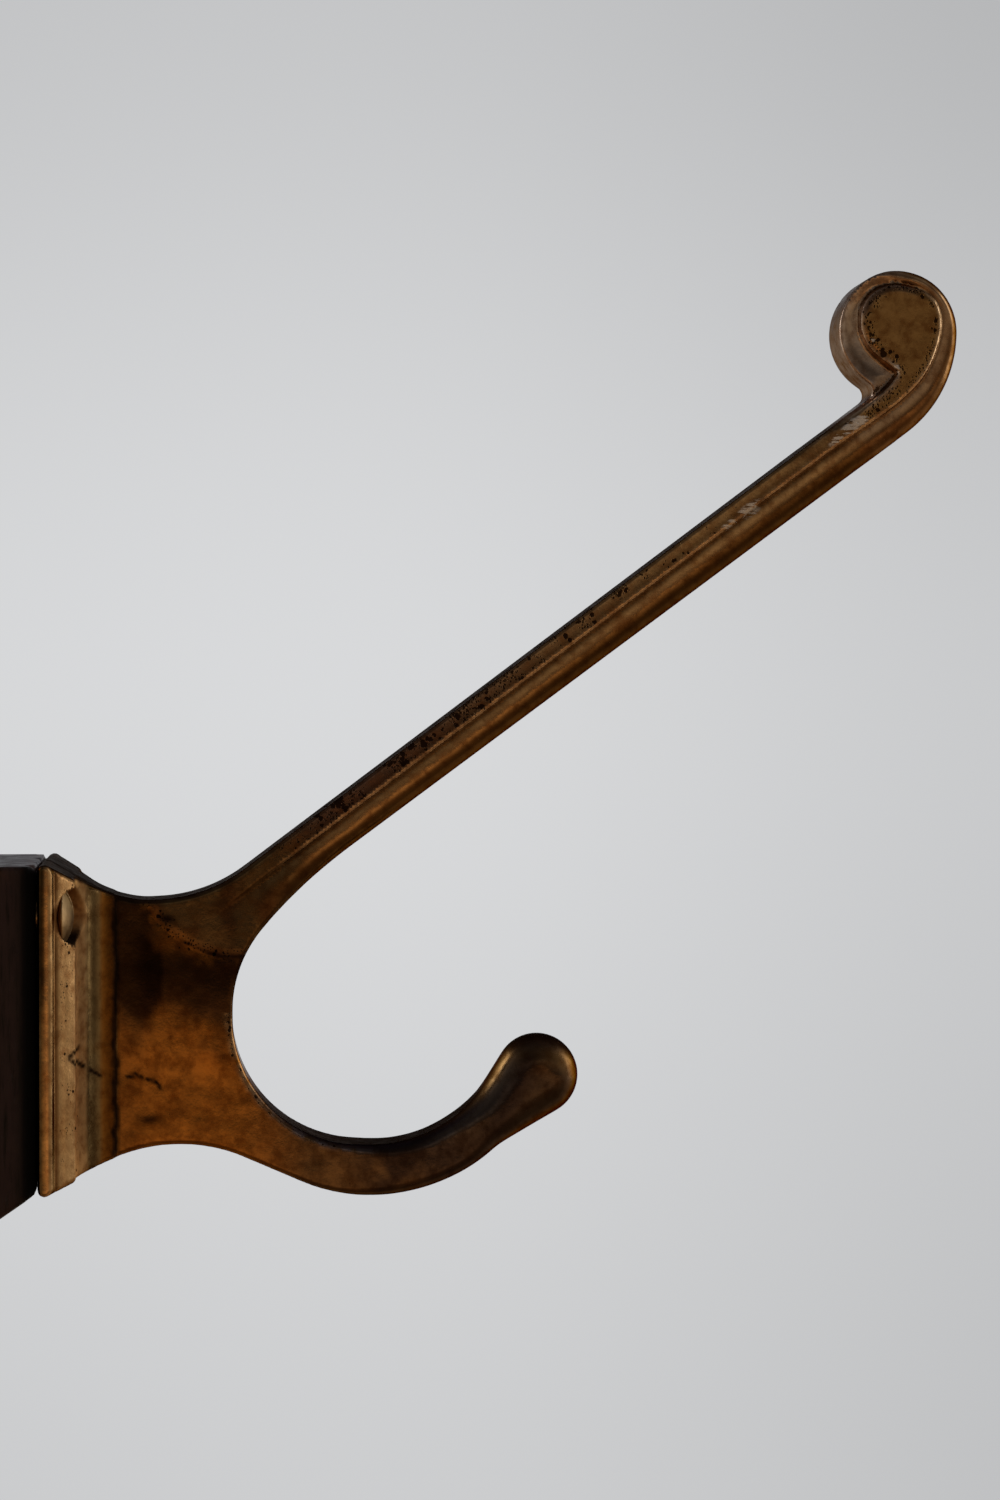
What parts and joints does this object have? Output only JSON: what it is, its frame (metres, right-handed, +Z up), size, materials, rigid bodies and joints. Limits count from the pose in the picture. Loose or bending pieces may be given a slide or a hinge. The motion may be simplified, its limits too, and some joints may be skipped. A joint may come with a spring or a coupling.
{
  "type": "hat and coat hook",
  "caption": "Cast brass hat-and-coat hook with a long scrolled upper arm and a short J hook, screwed through a dark wooden backing block.",
  "frame": {"origin": "on the wall plane at the block's back face, midway between the two screws", "axes": "+X out from the wall, +Y across the hook, +Z up"},
  "size_m": [0.1504, 0.028, 0.1182],
  "materials": {
    "hook_brass": "smooth cast brass with old brown tarnish, pitted and dirty in the corners",
    "block_wood": "dark stained wood, worn on the edges",
    "screw_brass": "dull brass screw with a dark slot"
  },
  "bodies": {
    "root": {"hook_casting": "hook_brass", "backing_block": "block_wood", "screw_upper": "screw_brass", "screw_lower": "screw_brass"}
  },
  "joints": []
}
